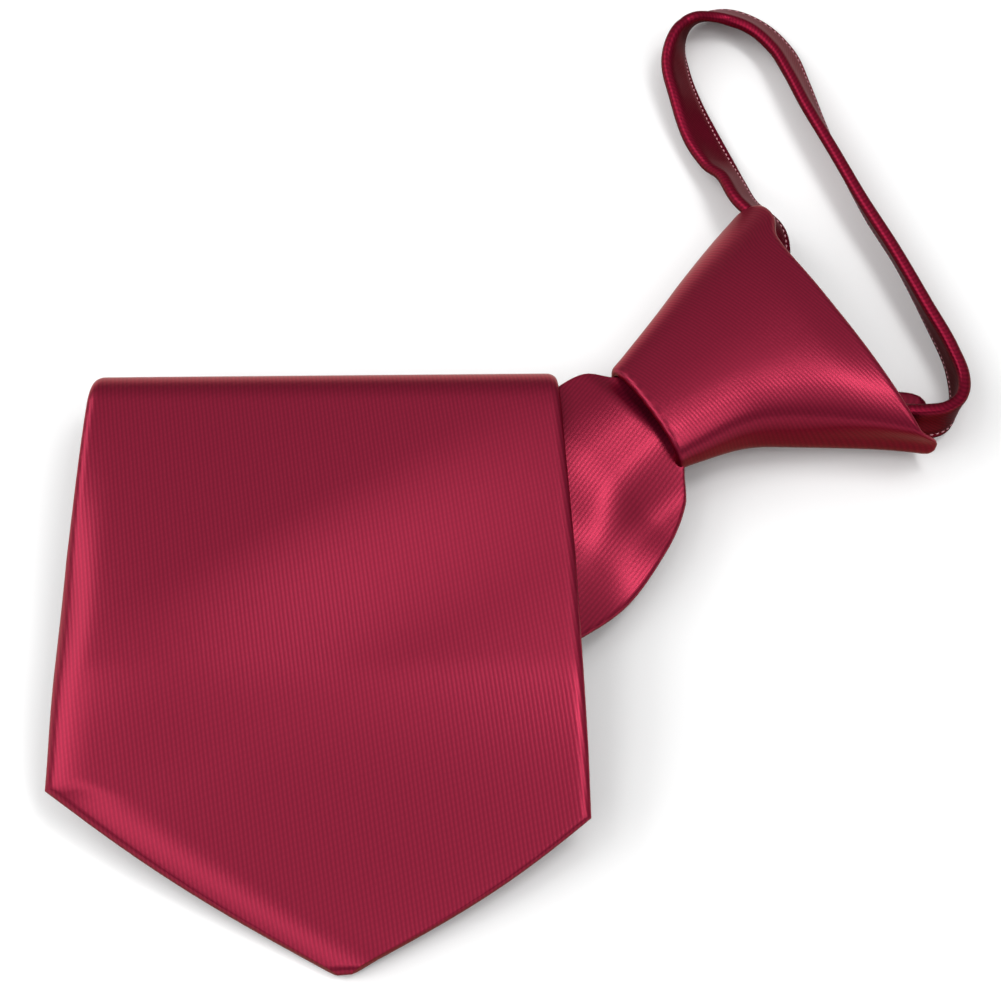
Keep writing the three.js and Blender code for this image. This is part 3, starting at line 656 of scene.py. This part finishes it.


def ribbed_satin(name, light, dark, rib_mm, rib_turn, cross_mm, cross_turn, depth_mm,
                 sheen=SHEEN_TINT):
    """Satin whose ribs run at rib_turn degrees from the flat cloth's length, broken a little
    by a second wave at cross_turn: height is their product, and the hollows get a painted shade.
    Upright faces get painted shade in their colour and nearly no gloss."""
    made, tree, shader = new_material(name, {"Metallic": 0.73, "Roughness": 0.34,
                                             "Specular Tint": sheen})
    flat = add_node(tree, "ShaderNodeUVMap", uv_map="cloth_mm")
    waves = []
    for period, turn, bend in ((rib_mm, rib_turn, 0.5), (cross_mm, cross_turn, 4.0)):
        turned = add_node(tree, "ShaderNodeMapping", [("Vector", flat.outputs["UV"])],
                          Rotation=(0, 0, np.radians(turn)))
        waves.append(add_node(tree, "ShaderNodeTexWave", [("Vector", turned.outputs["Vector"])],
                              Scale=WAVE_PERIOD / period, Distortion=bend,
                              Detail_Scale=0.6, Detail=1.0))
    broken = add_node(tree, "ShaderNodeMapRange", [("Value", waves[1].outputs["Fac"])],
                      To_Min=0.72, To_Max=1.0)
    height = add_node(tree, "ShaderNodeMath", operation="MULTIPLY")
    tree.links.new(waves[0].outputs["Fac"], height.inputs[0])
    tree.links.new(broken.outputs["Result"], height.inputs[1])
    # Painted shade: the rib hollows take the darker colour, which stands in for the shade
    # between the ribs.
    colour = add_node(tree, "ShaderNodeMixRGB", [("Fac", height.outputs["Value"])],
                      Color1=linear(dark), Color2=linear(light))
    bump = add_node(tree, "ShaderNodeBump", [("Height", height.outputs["Value"])],
                    Strength=1.0, Distance=depth_mm / 1000)
    # Painted shade: the dye darkens and the gloss fades as a face turns upright.
    lie = add_node(tree, "ShaderNodeNewGeometry")
    upward = add_node(tree, "ShaderNodeSeparateXYZ", [("Vector", lie.outputs["Normal"])])
    lit = add_node(tree, "ShaderNodeMapRange", [("Value", upward.outputs["Z"])], From_Min=0.1,
                   From_Max=0.6)
    shade = add_node(tree, "ShaderNodeMixRGB", [("Fac", lit.outputs["Result"])],
                     Color1=SIDE_SHADE, Color2=linear("#ffffff"))
    shaded = add_node(tree, "ShaderNodeMixRGB", [("Color1", colour.outputs["Color"]),
                                                 ("Color2", shade.outputs["Color"])],
                      blend_type="MULTIPLY", Fac=1.0)
    gloss = add_node(tree, "ShaderNodeMapRange", [("Value", lit.outputs["Result"])],
                     To_Min=0.05, To_Max=1.0)
    tree.links.new(gloss.outputs["Result"], shader.inputs["Specular IOR Level"])
    tree.links.new(shaded.outputs["Color"], shader.inputs["Base Color"])
    tree.links.new(bump.outputs["Normal"], shader.inputs["Normal"])
    return made


# The dye, and a darker copy of it that is painted shade for the rib hollows.
DYE_AND_RIB_SHADE = ("#941638", "#7e1030")
blade_finish = ribbed_satin("polyester_satin_blade", *DYE_AND_RIB_SHADE, 0.7, 8, 1.0, -67, 0.014)
knot_finish = ribbed_satin("polyester_satin_knot", *DYE_AND_RIB_SHADE, 0.62, -77.4, 0.9, 22.7, 0.012)
# The strap's dye, and a darker copy of it that is painted shade for its rib hollows.
strap_finish = ribbed_satin("polyester_satin_strap", "#84142f", "#6c0e26", 0.6, 40, 0.9, -40,
                            0.015, sheen=linear("#98525c"))
thread, _, _ = new_material(
    "polyester_thread", {"Base Color": linear("#c98a94"), "Roughness": 0.5, "Metallic": 0.0}
)
dressed = [(blade, blade_finish), (knot, knot_finish), (strap, strap_finish)]
for piece, finish in dressed + [(row, thread) for row in thread_pieces]:
    piece.data.materials.append(finish)

tape_finish, _, _ = new_material(
    "woven_zipper_tape", {"Base Color": linear("#5e1020"), "Roughness": 0.8}
)
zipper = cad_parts["zipper"]
zipper.data.materials.clear()
zipper.data.materials.append(tape_finish)

# %% [markdown]
# ## The table, the light and the camera
# The tie lies on a nearly white table under soft studio lamps. Satin mirrors them, so each
# lamp stands where the cloth that should shine looks: the far one for the slanting band of
# the panel, the two on the right for the neck and the knot's side, the left ones for the
# rolled left edge and the edge of the point. Flat cloth looks between them and stays dark.

# %% The table
TABLE_HALF = 6.0
corners = [(-TABLE_HALF, -TABLE_HALF, 0), (TABLE_HALF, -TABLE_HALF, 0),
           (TABLE_HALF, TABLE_HALF, 0), (-TABLE_HALF, TABLE_HALF, 0)]
floor_mesh = bpy.data.meshes.new("table_top")
floor_mesh.from_pydata(corners, [], [(0, 1, 2, 3)])
floor = bpy.data.objects.new("table_top", floor_mesh)
bpy.context.collection.objects.link(floor)
paper, _, _ = new_material("matt_white_paper", {"Base Color": linear("#fbfbfb"),
                                                "Roughness": 0.9, "Specular IOR Level": 0.1})
floor_mesh.materials.append(paper)


# %% The lamps
# Name, place, width and height in metres, and the brightness that a mirror would show.
LAMPS = [("overhead_softbox", (-0.5, 0.0, 1.0), (0.5, 0.3), 2.0),
         ("far_softbox", (0.1, 0.27, 1.0), (0.24, 0.12), 5.2),
         ("right_softbox", (0.32, 0.04, 0.9), (0.28, 0.24), 8.5),
         ("near_right_softbox", (0.44, -0.3, 0.85), (0.26, 0.26), 4.5),
         ("left_softbox", (-1.1, 0.1, 0.8), (2.0, 0.7), 2.6),
         ("front_left_softbox", (-0.45, -0.65, 0.85), (0.5, 0.35), 2.6),
         ("front_right_softbox", (0.75, -0.65, 0.85), (0.5, 0.4), 2.5)]


def softbox(name, place, size, brightness):
    """A rectangular lamp that faces the origin: its power is pi times its area times its
    brightness."""
    lamp = bpy.data.lights.new(name, "AREA")
    lamp.shape = "RECTANGLE"
    lamp.size, lamp.size_y = size
    lamp.energy = np.pi * size[0] * size[1] * brightness
    made = bpy.data.objects.new(name, lamp)
    made.location = place
    made.rotation_mode = "QUATERNION"
    made.rotation_quaternion = Vector(place).to_track_quat("Z", "Y")
    bpy.context.collection.objects.link(made)


for lamp_row in LAMPS:
    softbox(*lamp_row)
print(f"lamps: {len(LAMPS)}")

# %% The sky
# A soft white surround, brighter above than below.
world = bpy.data.worlds.new("studio")
world.use_nodes = True
background = world.node_tree.nodes["Background"]
background.inputs["Color"].default_value = (1, 1, 1, 1)
spot = add_node(world.node_tree, "ShaderNodeTexCoord")
height = add_node(world.node_tree, "ShaderNodeSeparateXYZ",
                  [("Vector", spot.outputs["Generated"])])
glow = add_node(world.node_tree, "ShaderNodeMapRange", [("Value", height.outputs["Z"])],
                To_Min=0.1, To_Max=0.6)
world.node_tree.links.new(glow.outputs["Result"], background.inputs["Strength"])
bpy.context.scene.world = world
bpy.context.scene.view_settings.view_transform = "Standard"

# %% The camera
CAMERA_DISTANCE = 412.0
CAMERA_ELEVATION = np.radians(60)
camera_data = bpy.data.cameras.new("camera")
camera_data.sensor_width = 36.0
camera_data.lens = 83.04
camera_data.clip_start = 0.01
camera = bpy.data.objects.new("camera", camera_data)
camera.location = (SHIFT + CAMERA_DISTANCE * np.array(
    [0, -np.cos(CAMERA_ELEVATION), np.sin(CAMERA_ELEVATION)])) / 1000
camera.rotation_euler = (np.pi / 2 - CAMERA_ELEVATION, 0, 0)
bpy.context.collection.objects.link(camera)
bpy.context.scene.camera = camera
